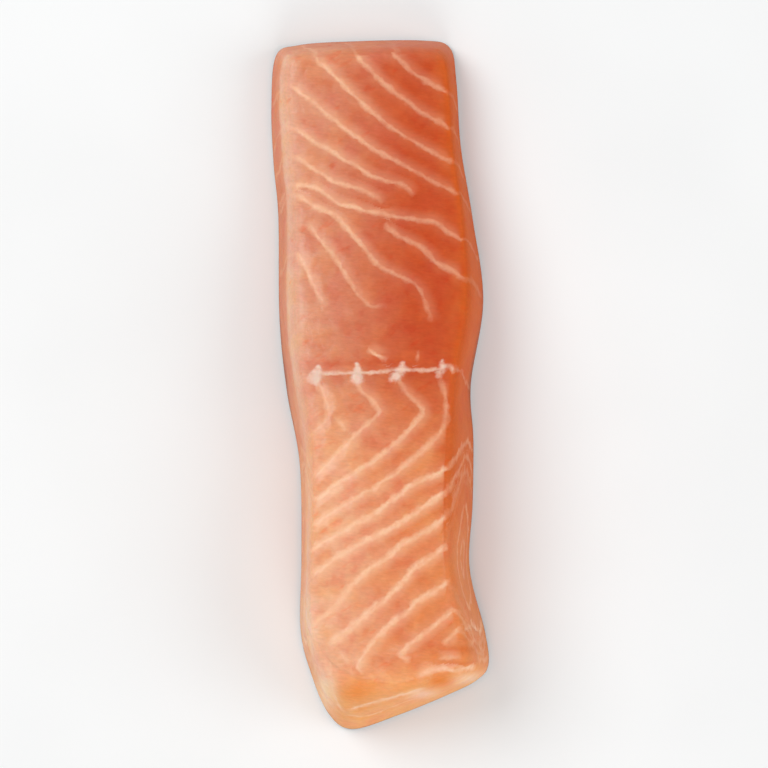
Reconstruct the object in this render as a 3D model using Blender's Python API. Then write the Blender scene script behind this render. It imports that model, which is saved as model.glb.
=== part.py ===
"""Raw salmon fillet: one boneless portion cut across the side of the fish, skin side down.

X runs along the fish, Y from the cut at its back (minus) to its belly (plus), and Z up from the
skin to the bone side of the flesh. The origin is on the table, below the middle of the portion.
"""

import bmesh
import bpy
import numpy as np

MM = 0.001

# Outline, anticlockwise from above, in millimetres. A row holds x and y of the edge of the skin,
# then x and y of the edge of the upper face, which the cut faces lean in to. The first row of
# each edge is its corner.
BACK_END = (
    (-14.0, -70.6, -12.6, -58.6),
    (-9.0, -74.2, -8.6, -61.4),
    (1.0, -71.6, 0.6, -63.6),
    (12.0, -67.6, 9.6, -61.6),
    (18.6, -64.6, 14.0, -60.2),
)
RIGHT_CUT = (
    (21.3, -61.2, 15.4, -57.6),
    (20.8, -54.0, 14.6, -52.0),
    (18.0, -40.0, 12.6, -40.0),
    (19.2, -26.0, 12.8, -26.0),
    (19.9, -12.0, 13.8, -12.0),
    (19.8, 0.0, 15.2, 0.0),
    (23.2, 18.0, 18.6, 17.5),
    (21.6, 36.0, 18.8, 35.0),
    (19.6, 52.0, 17.2, 51.0),
    (19.2, 66.0, 16.8, 64.0),
)
BELLY_END = (
    (18.0, 73.6, 15.4, 70.4),
    (12.0, 75.4, 10.4, 71.8),
    (-4.0, 75.8, -4.0, 72.0),
    (-15.0, 75.4, -13.4, 71.8),
)
LEFT_CUT = (
    (-20.0, 73.2, -16.8, 70.2),
    (-21.4, 62.0, -17.4, 60.5),
    (-21.4, 50.0, -16.8, 49.0),
    (-20.8, 38.0, -16.4, 37.5),
    (-21.4, 16.0, -17.4, 16.0),
    (-20.4, 0.0, -16.0, 0.0),
    (-18.2, -16.0, -14.8, -16.0),
    (-18.6, -36.0, -16.0, -36.0),
    (-19.4, -52.0, -16.4, -50.0),
    (-17.4, -62.0, -15.0, -55.4),
)
EDGES = (BACK_END, RIGHT_CUT, BELLY_END, LEFT_CUT)
SKIN_COLUMNS, UPPER_COLUMNS = (0, 1), (2, 3)

# Thickness along the portion: y, then height of the upper face, in millimetres.
THICKNESS = (
    (-75.0, 17.0),
    (-62.0, 22.5),
    (-48.0, 26.2),
    (-30.0, 27.2),
    (0.0, 22.8),
    (30.0, 16.6),
    (56.0, 12.6),
    (76.0, 10.6),
)
CROWN = 1.1  # how much lower the upper face is at its cut edges than along its middle
CROWN_POWER = 2.5  # how late, on the way out to a cut edge, the upper face drops
SKIN_EDGE = 1.0  # height at which the rounded edge of the skin reaches its full width
SKIN_TUCK = 0.8  # how far that edge turns in below
SKIN_LEVEL = 0.001  # share of the cut's height that stands for the edge of the skin

# White sheets of connective tissue part the muscle into flakes. SHEET_SPACING is the distance
# between two of them along the fish, and SHEETS says how many a cut along Y has crossed: the
# sheets run where x / SHEET_SPACING plus that number is whole.
SHEET_SPACING = 8.9
SHEETS = (
    (-75.0, 6.3),
    (-60.0, 7.6),
    (-46.5, 6.0),
    (-25.9, 2.95),
    (-14.3, 1.0),
    (-6.0, -0.12),
    (3.3, 0.55),
    (31.0, 4.08),
    (40.3, 5.94),
    (76.0, 12.4),
)
FLAKE_RELIEF = 0.45  # how far a flake stands above the sheets beside it
SMOOTH_BELLY = (4.0, 24.0)  # between these y the flakes hardly stand out
CUT_FADE, END_FADE = 0.12, 0.04  # shares of the width and length over which all relief dies out

# The seam between the back and the belly muscle, where the pin bones sat, is a shallow furrow.
SEAM_Y = 3.4
SEAM_DEPTH = 0.7
SEAM_WIDTH = 2.4

ACROSS, ALONG = 30, 92  # faces of the upper face across and along the portion
CUT_LEVELS = 6  # faces up a cut face, above the edge of the skin
CUT_CROWDING = 1.8  # above 1, those faces crowd together towards the rounded upper edge
CUT_STRAIGHT, CUT_SHARPNESS = 0.6, 7  # share of a cut face's lean that is straight, and its edge
SHARP_DEGREES = 50
TINY = 1e-6
FLESH = (0.62, 0.17, 0.065, 1.0)  # linear colour


def smooth_through(stations, places):
    """Heights, at these places, of a smooth curve through stations given in rising order."""
    x, y = np.array(stations).T
    slope = np.gradient(y, x)
    i = np.clip(np.searchsorted(x, places) - 1, 0, len(x) - 2)
    span = x[i + 1] - x[i]
    t = np.clip((places - x[i]) / span, 0.0, 1.0)
    rise = y[i + 1] - y[i]
    bend = (1 - t) * (span * slope[i] - rise) + t * (rise - span * slope[i + 1])
    return y[i] + t * rise + t * (1 - t) * bend


def ease(places, low, high):
    """0 below low, 1 above high, and a smooth step between them."""
    t = np.clip((places - low) / (high - low), 0.0, 1.0)
    return t * t * (3 - 2 * t)


def closed_curve(rows, per_span=16):
    """Points of a smooth closed curve through the rows, per_span of them from each row to the next."""
    before, after = np.roll(rows, 1, axis=0), np.roll(rows, -1, axis=0)
    beyond = np.roll(rows, -2, axis=0)
    t = np.linspace(0, 1, per_span, endpoint=False)[None, :, None]
    p0, p1, p2, p3 = (p[:, None, :] for p in (before, rows, after, beyond))
    curve = p1 + 0.5 * t * (
        p2 - p0 + t * (2 * p0 - 5 * p1 + 4 * p2 - p3 + t * (3 * (p1 - p2) + p3 - p0))
    )
    return curve.reshape(-1, rows.shape[1])


def edge_curves(columns, per_span=16):
    """The four edges of one outline, each a function from 0..1 along it to points (x, y)."""
    rows = np.array([row for edge in EDGES for row in edge])
    curve = closed_curve(rows, per_span)
    curve = np.vstack((curve, curve[:1]))[:, columns]
    curves, start = [], 0
    for edge in EDGES:
        end = start + len(edge) * per_span
        points = curve[start : end + 1]
        along = np.append(0, np.cumsum(np.linalg.norm(np.diff(points, axis=0), axis=1)))
        curves.append((along / along[-1], points))
        start = end

    def read(number):
        along, points = curves[number]
        return lambda t: np.stack(
            (np.interp(t, along, points[:, 0]), np.interp(t, along, points[:, 1])), axis=-1
        )

    return [read(number) for number in range(4)]


def patch(edges, u, v):
    """Points of the face inside four edges: u runs from left to right and v from back to belly."""
    back, right, belly, left = edges
    u1, v1 = u[:, None], v[:, None]
    sides = (1 - v1) * back(u) + v1 * belly(1 - u) + (1 - u1) * left(1 - v) + u1 * right(v)
    ends = np.array((0.0, 1.0))
    (low_left, low_right), (top_right, top_left) = back(ends), belly(ends)
    corners = (1 - v1) * ((1 - u1) * low_left + u1 * low_right)
    return sides - corners - v1 * ((1 - u1) * top_left + u1 * top_right)


def upper_height(x, y, u, v):
    """Height of the upper face: its thickness, its crown, the flakes and the furrow of the seam."""
    height = smooth_through(THICKNESS, y) - CROWN * np.abs(2 * u - 1) ** CROWN_POWER
    sheet = 0.5 + 0.5 * np.cos(2 * np.pi * (x / SHEET_SPACING + smooth_through(SHEETS, y)))
    low, high = SMOOTH_BELLY
    middle = (low + high) / 2
    plain = ease(y, low, middle) * (1 - ease(y, middle, high))
    inside = ease(np.minimum(u, 1 - u), 0, CUT_FADE) * ease(np.minimum(v, 1 - v), 0, END_FADE)
    height -= FLAKE_RELIEF * sheet**2 * (1 - plain) * inside
    return height - SEAM_DEPTH * np.exp(-(((y - SEAM_Y) / SEAM_WIDTH) ** 2)) * inside


def cut_profile(w):
    """How far in, from 0 to 1, a cut face has leaned at w of its height: straight, then rounded."""
    return CUT_STRAIGHT * w + (1 - CUT_STRAIGHT) * (1 - np.sqrt(1 - w**CUT_SHARPNESS))


def warp(u, v, w):
    """Points of the fillet, in millimetres, for places in a unit box; w is 0 on the table."""
    skin, upper = (patch(edge_curves(columns), u, v) for columns in (SKIN_COLUMNS, UPPER_COLUMNS))
    height = upper_height(upper[:, 0], upper[:, 1], u, v)
    lean = cut_profile(w)[:, None]
    plan = (1 - lean) * skin + lean * upper
    inward = upper - skin
    inward /= np.maximum(np.linalg.norm(inward, axis=1, keepdims=True), TINY)
    tucked = w == 0
    plan[tucked] = (skin + SKIN_TUCK * inward)[tucked]
    z = np.where(tucked, 0.0, SKIN_EDGE + (height - SKIN_EDGE) * w)
    return np.column_stack((plan, z))


def unit_box():
    """A bmesh whose vertices are places (u, v, w) of the box that warp() turns into the fillet."""
    bm = bmesh.new()
    bmesh.ops.create_grid(bm, x_segments=ACROSS, y_segments=ALONG, size=0.5)
    for vert in bm.verts:
        vert.co = (vert.co.x + 0.5, vert.co.y + 0.5, 1.0)
    levels = [1 - (step / CUT_LEVELS) ** CUT_CROWDING for step in range(1, CUT_LEVELS)]
    rim = [edge for edge in bm.edges if edge.is_boundary]
    for level in (*levels, SKIN_LEVEL, 0.0):
        made = bmesh.ops.extrude_edge_only(bm, edges=rim)["geom"]
        for vert in (item for item in made if isinstance(item, bmesh.types.BMVert)):
            vert.co.z = level
        rim = [item for item in made if isinstance(item, bmesh.types.BMEdge) and item.is_boundary]
    fill_underside(bm, rim)
    bmesh.ops.recalc_face_normals(bm, faces=bm.faces)
    return bm


def fill_underside(bm, rim):
    """Closes the box's floor with one strip for each row of faces above it."""
    verts = {vert for edge in rim for vert in edge.verts}
    left = sorted((vert for vert in verts if vert.co.x < TINY), key=lambda vert: vert.co.y)
    right = sorted((vert for vert in verts if vert.co.x > 1 - TINY), key=lambda vert: vert.co.y)
    ends = {}
    for end in (0, 1):
        inner = [v for v in verts if abs(v.co.y - end) < TINY and TINY < v.co.x < 1 - TINY]
        ends[end] = sorted(inner, key=lambda vert: vert.co.x)
    for row in range(ALONG):
        corners = [left[row], right[row], right[row + 1], left[row + 1]]
        if row == 0:
            corners = [left[0], *ends[0], *corners[1:]]
        elif row == ALONG - 1:
            corners = [*corners[:3], *reversed(ends[1]), left[ALONG]]
        bm.faces.new(corners)


def flesh_material():
    """Moist orange-pink salmon flesh."""
    material = bpy.data.materials.new("salmon_flesh")
    material.use_nodes = True
    material.diffuse_color = FLESH
    shader = material.node_tree.nodes["Principled BSDF"]
    shader.inputs["Base Color"].default_value = FLESH
    shader.inputs["Roughness"].default_value = 0.35
    shader.inputs["Metallic"].default_value = 0.0
    return material


def fillet():
    """The portion of fish: flesh and skin as one solid."""
    bm = unit_box()
    bm.verts.ensure_lookup_table()
    points = warp(*np.array([vert.co for vert in bm.verts], float).T)
    points[:, :2] -= (points.min(axis=0) + points.max(axis=0))[:2] / 2
    for vert, point in zip(bm.verts, points):
        vert.co = point * MM
    mesh = bpy.data.meshes.new("fillet")
    bm.to_mesh(mesh)
    bm.free()
    mesh.shade_smooth()
    mesh.set_sharp_from_angle(angle=np.radians(SHARP_DEGREES))
    mesh.materials.append(flesh_material())
    portion = bpy.data.objects.new("fillet", mesh)
    bpy.context.scene.collection.objects.link(portion)
    return portion


for old in list(bpy.data.objects):
    bpy.data.objects.remove(old)
fillet()
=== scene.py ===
"""Dresses the raw salmon fillet: flesh parted into flakes, silver skin with scales, and a studio.

The shape functions work in millimetres in the part's own frame: X along the fish towards its head,
Y from the cut at its back to its belly, and Z up from the skin. Blender's own lengths are metres.
"""

from math import pi, radians

import bpy
import numpy as np
from bpy.props import FloatProperty, FloatVectorProperty, IntProperty, PointerProperty
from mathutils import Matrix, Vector
from mathutils.bvhtree import BVHTree


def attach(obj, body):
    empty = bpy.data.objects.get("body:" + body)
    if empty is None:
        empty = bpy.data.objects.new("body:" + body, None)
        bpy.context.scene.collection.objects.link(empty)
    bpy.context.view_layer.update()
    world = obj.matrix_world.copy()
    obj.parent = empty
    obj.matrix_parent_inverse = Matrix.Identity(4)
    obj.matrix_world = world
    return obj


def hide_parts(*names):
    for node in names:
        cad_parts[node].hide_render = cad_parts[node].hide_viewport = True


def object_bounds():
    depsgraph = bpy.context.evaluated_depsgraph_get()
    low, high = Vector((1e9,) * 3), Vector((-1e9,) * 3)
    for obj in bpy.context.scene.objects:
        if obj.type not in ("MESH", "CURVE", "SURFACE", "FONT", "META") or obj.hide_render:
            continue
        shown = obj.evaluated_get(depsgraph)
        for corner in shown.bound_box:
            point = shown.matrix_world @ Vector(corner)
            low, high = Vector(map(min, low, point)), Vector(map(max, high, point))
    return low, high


bl_info = {
    "name": "Raw salmon fillet",
    "version": (1, 0, 0),
    "blender": (4, 5, 0),
    "location": "View3D > Sidebar > Salmon",
    "description": "Dresses a raw salmon portion in flaky flesh and scaly skin, in a studio",
    "category": "Object",
}

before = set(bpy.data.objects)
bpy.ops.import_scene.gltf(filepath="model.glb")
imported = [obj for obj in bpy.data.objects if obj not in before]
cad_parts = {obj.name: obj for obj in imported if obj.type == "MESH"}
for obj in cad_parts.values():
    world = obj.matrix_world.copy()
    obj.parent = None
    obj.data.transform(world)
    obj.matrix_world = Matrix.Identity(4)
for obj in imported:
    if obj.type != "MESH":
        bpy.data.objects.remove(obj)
CAD_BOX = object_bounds()
NODE = "fillet"
BODY = "root"
MM = 0.001
TINY = 1e-6

# Outline, anticlockwise from above. A row holds x and y of the edge of the skin, then x and y of
# the edge of the upper face. The first row of each edge is its corner.
BACK_END = (
    (-14.0, -70.6, -12.6, -58.6),
    (-9.0, -74.2, -8.6, -61.4),
    (1.0, -71.6, 0.6, -63.6),
    (12.0, -67.6, 9.6, -61.6),
    (18.6, -64.6, 14.0, -60.2),
)
RIGHT_CUT = (
    (21.3, -61.2, 15.4, -57.6),
    (20.8, -54.0, 14.6, -52.0),
    (18.0, -40.0, 12.6, -40.0),
    (19.2, -26.0, 12.8, -26.0),
    (19.9, -12.0, 13.8, -12.0),
    (19.8, 0.0, 15.2, 0.0),
    (23.2, 18.0, 18.6, 17.5),
    (21.6, 36.0, 18.8, 35.0),
    (19.6, 52.0, 17.2, 51.0),
    (19.2, 66.0, 16.8, 64.0),
)
BELLY_END = (
    (18.0, 73.6, 15.4, 70.4),
    (12.0, 75.4, 10.4, 71.8),
    (-4.0, 75.8, -4.0, 72.0),
    (-15.0, 75.4, -13.4, 71.8),
)
LEFT_CUT = (
    (-20.0, 73.2, -16.8, 70.2),
    (-21.4, 62.0, -17.4, 60.5),
    (-21.4, 50.0, -16.8, 49.0),
    (-20.8, 38.0, -16.4, 37.5),
    (-21.4, 16.0, -17.4, 16.0),
    (-20.4, 0.0, -16.0, 0.0),
    (-18.2, -16.0, -14.8, -16.0),
    (-18.6, -36.0, -16.0, -36.0),
    (-19.4, -52.0, -16.4, -50.0),
    (-17.4, -62.0, -15.0, -55.4),
)
EDGES = (BACK_END, RIGHT_CUT, BELLY_END, LEFT_CUT)
SKIN_COLUMNS, UPPER_COLUMNS = (0, 1), (2, 3)

# Thickness along the portion: y, then height of the upper face.
THICKNESS = (
    (-75.0, 17.0),
    (-62.0, 22.5),
    (-48.0, 26.2),
    (-30.0, 27.2),
    (0.0, 22.8),
    (30.0, 16.6),
    (56.0, 12.6),
    (76.0, 10.6),
)
CROWN = 1.1  # how much lower the upper face is at its cut edges than along its middle
CROWN_POWER = 2.5  # how late, on the way out to a cut edge, the upper face drops
SKIN_EDGE = 1.0  # height at which the rounded edge of the skin reaches its full width
CUT_STRAIGHT, CUT_SHARPNESS = 0.6, 7  # share of a cut face's lean that is straight, and its edge
SEAM_Y, SEAM_DEPTH, SEAM_WIDTH = 3.4, 0.7, 2.4  # furrow where the pin bones sat
CUT_FADE, END_FADE = 0.12, 0.04  # shares of the width and length over which the furrow dies out

# Sheets of white connective tissue where they reach the upper face. Each has half its width, how
# strongly it shows (or how strongly at its start and at its end), and places x, y along it, seen
# from above.
SHEETS = (
    # Loin, from the seam of the pin bones down to the back.
    (0.55, (0.60, 0.35), ((-14.9, 2.2), (-13.4, -1.2), (-12.4, -4.6), (-12.8, -6.8), (-15.4, -9.6))),
    (0.50, 0.40, ((-11.0, -6.4), (-9.6, -8.2), (-8.6, -10.0))),
    (
        0.55, (0.50, 0.75),
        (
            (-5.9, 2.2), (-5.2, -1.0), (-2.4, -3.8), (-1.6, -6.0), (-4.2, -8.6), (-8.2, -12.0),
            (-12.5, -16.1), (-16.0, -19.4),
        ),
    ),
    (
        0.56, (0.42, 1.00),
        (
            (2.8, 2.0), (4.6, -2.0), (7.2, -4.6), (8.0, -6.6), (5.2, -9.7), (1.2, -13.2), (-1.4, -15.3),
            (-5.6, -17.8), (-10.0, -20.2), (-16.0, -24.3),
        ),
    ),
    (
        0.56, (0.30, 1.00),
        (
            (11.9, 2.0), (12.9, -2.4), (13.2, -5.8), (12.4, -9.4), (9.8, -12.7), (5.0, -16.6),
            (1.2, -19.4), (-3.1, -22.2), (-6.3, -23.6), (-12.5, -26.8), (-16.2, -29.4),
        ),
    ),
    (
        0.66, 1.00,
        (
            (13.4, -18.0), (10.3, -19.8), (5.6, -21.4), (2.5, -23.6), (-1.9, -26.7), (-7.5, -29.8),
            (-13.8, -32.7), (-16.6, -34.6),
        ),
    ),
    (
        0.66, 1.00,
        (
            (12.8, -23.2), (9.7, -25.1), (5.0, -28.2), (0.0, -30.8), (-6.3, -33.7), (-11.3, -36.4),
            (-16.3, -39.6),
        ),
    ),
    (
        0.70, 0.92,
        (
            (12.6, -28.8), (9.4, -30.8), (7.5, -31.8), (3.1, -34.0), (0.0, -36.5), (-4.4, -39.3),
            (-8.6, -42.6), (-12.5, -47.2), (-15.9, -49.8),
        ),
    ),
    (
        0.70, 0.96,
        (
            (12.4, -34.9), (9.2, -37.0), (5.0, -39.6), (0.2, -44.6), (-5.0, -48.6), (-10.0, -52.6),
            (-14.4, -55.6),
        ),
    ),
    (
        0.66, 0.90,
        (
            (12.6, -42.4), (9.8, -44.2), (6.3, -46.1), (3.1, -48.8), (0.0, -51.0), (-3.1, -53.6),
            (-5.6, -56.7), (-7.8, -60.4), (-6.6, -62.0),
        ),
    ),
    (0.60, 0.60, ((-11.6, -56.9), (-10.8, -58.4), (-9.8, -60.2))),
    (
        0.60, 0.85,
        (
            (13.9, -48.4), (10.6, -50.8), (7.5, -53.0), (3.8, -55.8), (1.2, -58.2), (1.9, -59.0),
            (3.6, -59.4),
        ),
    ),
    (0.50, 0.70, ((14.2, -52.6), (12.6, -54.4), (10.2, -56.2))),
    # Fat of the back, on the rounded end of the portion.
    (0.80, 0.95, ((-10.6, -70.2), (-7.6, -69.6), (-3.0, -68.3), (1.6, -67.2), (6.4, -65.6))),
    (0.60, 0.70, ((-14.2, -59.4), (-14.4, -62.6), (-13.4, -67.0), (-12.0, -70.6))),
    (0.45, 0.55, ((-11.4, -71.6), (-6.0, -71.9), (0.4, -69.6), (5.0, -68.0))),
    (0.45, 0.50, ((9.2, -59.4), (13.0, -59.2), (17.8, -59.3))),
    (0.70, 0.90, ((4.6, -64.0), (7.0, -62.6), (9.6, -61.9), (13.4, -62.2), (17.6, -61.9))),
    # Seam of the pin bones.
    (
        0.40, (1.00, 0.68),
        (
            (-14.6, 2.9), (-10.4, 2.8), (-5.9, 2.7), (-1.0, 2.6), (3.5, 3.0), (8.0, 2.7), (12.0, 2.8),
            (14.2, 3.3), (15.4, 1.6),
        ),
    ),
    (0.55, 1.00, ((-3.4, 7.8), (-2.0, 6.9), (-0.5, 5.9), (1.0, 5.1))),
    (0.40, 0.60, ((7.6, 7.0), (7.2, 4.3))),
    # Belly, above that seam.
    (
        0.50, (0.70, 0.30),
        ((-18.6, 30.4), (-16.6, 26.6), (-14.6, 21.8), (-13.4, 19.2), (-11.2, 17.2)),
    ),
    (
        0.50, (0.70, 0.28),
        (
            (-15.4, 36.0), (-14.0, 33.2), (-10.0, 28.4), (-6.9, 22.8), (-4.4, 18.8), (-1.9, 16.8),
            (1.4, 17.0),
        ),
    ),
    (
        0.52, (0.76, 0.66),
        (
            (-16.6, 41.2), (-13.6, 38.8), (-9.8, 37.2), (-7.8, 35.2), (-6.3, 33.2), (-3.8, 30.4),
            (-1.3, 26.8), (1.0, 24.8), (5.0, 22.7), (8.1, 20.4), (9.9, 16.4), (10.6, 12.8),
        ),
    ),
    (
        0.58, 0.82,
        (
            (1.5, 35.0), (2.4, 33.4), (4.8, 31.6), (7.5, 30.2), (10.6, 27.7), (12.5, 25.4), (15.6, 24.0),
            (17.6, 22.4),
        ),
    ),
    # Long seam of the belly.
    (
        0.52, 0.84,
        (
            (-18.2, 43.8), (-15.4, 43.6), (-12.5, 42.6), (-10.2, 40.8), (-8.2, 39.3), (-4.4, 38.2),
            (0.0, 37.0), (4.4, 35.9), (8.8, 35.0), (12.0, 34.6), (14.2, 32.9), (18.2, 30.4),
        ),
    ),
    # Beyond it, up to the thin end of the belly.
    (
        0.50, (0.80, 0.60),
        (
            (-16.4, 49.2), (-15.0, 48.1), (-11.9, 45.9), (-8.8, 43.8), (-4.4, 42.5), (-0.6, 40.6),
            (1.2, 38.8),
        ),
    ),
    (
        0.50, 0.74,
        (
            (-17.0, 55.8), (-14.0, 53.6), (-9.0, 50.4), (-5.0, 47.8), (-1.3, 45.3), (2.5, 43.8),
            (6.3, 42.5), (8.3, 40.4),
        ),
    ),
    (
        0.50, 0.76,
        (
            (-16.8, 64.6), (-13.6, 62.0), (-9.0, 57.8), (-4.0, 53.6), (1.0, 50.0), (6.3, 46.9),
            (10.0, 44.7), (13.8, 42.5), (17.6, 40.4),
        ),
    ),
    (
        0.52, 0.78,
        (
            (-11.6, 70.4), (-7.6, 66.4), (-3.2, 61.6), (1.8, 57.0), (7.0, 53.0), (12.8, 49.4),
            (17.4, 46.8),
        ),
    ),
    (0.55, 0.80, ((-3.0, 71.0), (0.2, 67.4), (4.2, 63.4), (9.4, 59.2), (16.6, 54.8))),
    (0.55, 0.80, ((5.0, 71.2), (8.2, 67.8), (12.0, 65.0), (16.4, 62.3))),
)

# White knots of tissue where the pin bones sat. Each row has the place x, y and the radius of one
# lobe of a knot, and how white it is.
KNOT_LOBES = (
    (-14.9, 1.7, 1.50, 1.00),
    (-14.2, 3.2, 0.90, 0.90),
    (-13.8, 4.2, 0.50, 0.80),
    (-5.7, 1.7, 1.45, 1.00),
    (-5.6, 3.3, 0.90, 0.95),
    (-5.7, 4.5, 0.50, 0.80),
    (2.4, 1.4, 1.30, 0.95),
    (4.1, 3.0, 1.15, 0.90),
    (4.3, 4.4, 0.50, 0.70),
    (11.8, 1.6, 1.00, 0.62),
    (12.8, 3.2, 1.10, 0.72),
    (12.7, 4.6, 0.50, 0.60),
)


def srgb(red, green, blue):
    """A colour as a picker shows it, 0 to 255 a channel, as Blender's linear colour."""
    shares = np.array((red, green, blue)) / 255
    linear = np.where(shares <= 0.04045, shares / 12.92, ((shares + 0.055) / 1.055) ** 2.4)
    return tuple(float(value) for value in linear)


def colour_property(name, description, colour):
    """A colour that a user can change."""
    return FloatVectorProperty(
        name=name, description=description, subtype="COLOR", min=0, max=1, default=srgb(*colour)
    )


def length_property(name, description, millimetres):
    """A length that a user can change."""
    return FloatProperty(
        name=name, description=description, unit="LENGTH", subtype="DISTANCE", min=0, precision=5,
        default=millimetres * MM,
    )


def smooth_through(stations, places):
    """Heights, at these places, of a smooth curve through stations given in rising order."""
    x, y = np.array(stations).T
    slope = np.gradient(y, x)
    i = np.clip(np.searchsorted(x, places) - 1, 0, len(x) - 2)
    span = x[i + 1] - x[i]
    t = np.clip((places - x[i]) / span, 0.0, 1.0)
    rise = y[i + 1] - y[i]
    bend = (1 - t) * (span * slope[i] - rise) + t * (rise - span * slope[i + 1])
    return y[i] + t * rise + t * (1 - t) * bend


def ease(places, low, high):
    """0 below low, 1 above high, and a smooth step between them."""
    t = np.clip((places - low) / (high - low), 0.0, 1.0)
    return t * t * (3 - 2 * t)


def bump_at(places, middle, reach):
    """1 at the middle, falling smoothly to nothing a few times reach away."""
    return np.exp(-(((places - middle) / reach) ** 2))


def smooth_curve(rows, per_span=16, closed=True):
    """Points of a smooth curve through the rows, per_span of them from each row to the next."""
    rows = np.array(rows, float)
    if closed:
        before, after, beyond = (np.roll(rows, step, axis=0) for step in (1, -1, -2))
        start = rows
    else:
        padded = np.vstack((2 * rows[0] - rows[1], rows, 2 * rows[-1] - rows[-2]))
        before, start, after, beyond = (padded[i : len(rows) + i - 1] for i in range(4))
    t = np.linspace(0, 1, per_span, endpoint=False)[None, :, None]
    p0, p1, p2, p3 = (p[:, None, :] for p in (before, start, after, beyond))
    curve = p1 + 0.5 * t * (
        p2 - p0 + t * (2 * p0 - 5 * p1 + 4 * p2 - p3 + t * (3 * (p1 - p2) + p3 - p0))
    )
    curve = curve.reshape(-1, rows.shape[1])
    return curve if closed else np.vstack((curve, rows[-1:]))


OUTLINE = smooth_curve([row for edge in EDGES for row in edge])
MIDDLE = (OUTLINE.min(axis=0) + OUTLINE.max(axis=0))[:2] / 2


def edge_curves(columns, per_span=16):
    """The four edges of one outline, each a function from 0..1 along it to points (x, y)."""
    curve = np.vstack((OUTLINE, OUTLINE[:1]))[:, columns]
    curves, start = [], 0
    for edge in EDGES:
        end = start + len(edge) * per_span
        points = curve[start : end + 1]
        along = np.append(0, np.cumsum(np.linalg.norm(np.diff(points, axis=0), axis=1)))
        curves.append((along / along[-1], points))
        start = end

    def read(number):
        along, points = curves[number]
        return lambda t: np.stack(
            (np.interp(t, along, points[:, 0]), np.interp(t, along, points[:, 1])), axis=-1
        )

    return [read(number) for number in range(4)]


def patch(edges, u, v):
    """Points of the face inside four edges: u runs from left to right and v from back to belly."""
    back, right, belly, left = edges
    u1, v1 = u[:, None], v[:, None]
    sides = (1 - v1) * back(u) + v1 * belly(1 - u) + (1 - u1) * left(1 - v) + u1 * right(v)
    ends = np.array((0.0, 1.0))
    (low_left, low_right), (top_right, top_left) = back(ends), belly(ends)
    corners = (1 - v1) * ((1 - u1) * low_left + u1 * low_right)
    return sides - corners - v1 * ((1 - u1) * top_left + u1 * top_right)


def upper_height(y, u, v):
    """Height of the upper face: its thickness, its crown and the furrow of the seam."""
    height = smooth_through(THICKNESS, y) - CROWN * np.abs(2 * u - 1) ** CROWN_POWER
    inside = ease(np.minimum(u, 1 - u), 0, CUT_FADE) * ease(np.minimum(v, 1 - v), 0, END_FADE)
    return height - SEAM_DEPTH * bump_at(y, SEAM_Y, SEAM_WIDTH) * inside


def cut_profile(w):
    """How far in, from 0 to 1, a cut face has leaned at w of its height: straight, then rounded."""
    return CUT_STRAIGHT * w + (1 - CUT_STRAIGHT) * (1 - np.sqrt(1 - w**CUT_SHARPNESS))


def warp(u, v, w):
    """Points of the flesh for places in a unit box; w is 0 at the edge of the skin, 1 on top."""
    skin, upper = (patch(edge_curves(columns), u, v) for columns in (SKIN_COLUMNS, UPPER_COLUMNS))
    height = upper_height(upper[:, 1], u, v)
    lean = cut_profile(w)[:, None]
    z = SKIN_EDGE + (height - SKIN_EDGE) * w
    return np.column_stack(((1 - lean) * skin + lean * upper - MIDDLE, z))


def inset_outline(u, v, inset):
    """Places on the outline of the skin, moved in towards the upper outline by inset."""
    skin, upper = (patch(edge_curves(columns), u, v) for columns in (SKIN_COLUMNS, UPPER_COLUMNS))
    inward = upper - skin
    inward /= np.maximum(np.linalg.norm(inward, axis=1, keepdims=True), TINY)
    return skin + inset[:, None] * inward - MIDDLE


def closed_box(across, along, rings):
    """A box's places (u, v, ring) and faces: a fine upper face, rings down the side and a floor.

    Ring 0 is the upper face, and ring 1 onwards are loops of points below its rim.
    """
    u, v = np.meshgrid(np.linspace(0, 1, across + 1), np.linspace(0, 1, along + 1))
    grid = np.arange(u.size).reshape(u.shape)
    rim = np.concatenate((grid[0, :-1], grid[:-1, -1], grid[-1, :0:-1], grid[:0:-1, 0]))
    places = [np.column_stack((u.ravel(), v.ravel(), np.zeros(u.size)))]
    for ring in range(1, rings + 1):
        loop = places[0][rim].copy()
        loop[:, 2] = ring
        places.append(loop)
    cells = (grid[:-1, :-1], grid[:-1, 1:], grid[1:, 1:], grid[1:, :-1])
    quads = [np.stack(cells, axis=-1).reshape(-1, 4)]
    above = rim
    for ring in range(rings):
        below = u.size + ring * len(rim) + np.arange(len(rim))
        quads.append(np.column_stack((above, below, np.roll(below, -1), np.roll(above, -1))))
        above = below
    # The floor's faces run from left to right, one for each step along.
    loop = above.tolist()
    right = loop[across : across + along + 1]
    left = [loop[0], *loop[: len(loop) - along - 1 : -1]]
    back, belly = loop[1:across], loop[across + along + 1 : 2 * across + along]
    faces = np.vstack(quads).tolist()
    faces.append([left[0], left[1], right[1], right[0], *reversed(back)])
    for row in range(1, along - 1):
        faces.append([left[row], left[row + 1], right[row + 1], right[row]])
    faces.append([left[-2], left[-1], *reversed(belly), right[-1], right[-2]])
    return np.vstack(places), faces


def mesh_object(name, points, faces, edges=()):
    """An object whose mesh has these points, given in millimetres."""
    mesh = bpy.data.meshes.new(name)
    mesh.from_pydata((np.asarray(points) * MM).tolist(), edges, faces)
    mesh.update()
    mesh.shade_smooth()
    made = bpy.data.objects.new(name, mesh)
    bpy.context.scene.collection.objects.link(made)
    return made


def store(made, name, values, kind="FLOAT"):
    """Keeps a value for every point of an object's mesh, for its nodes to read."""
    layer = made.data.attributes.new(name, kind, "POINT")
    layer.data.foreach_set("color" if kind == "FLOAT_COLOR" else "value", np.ravel(values))


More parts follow.
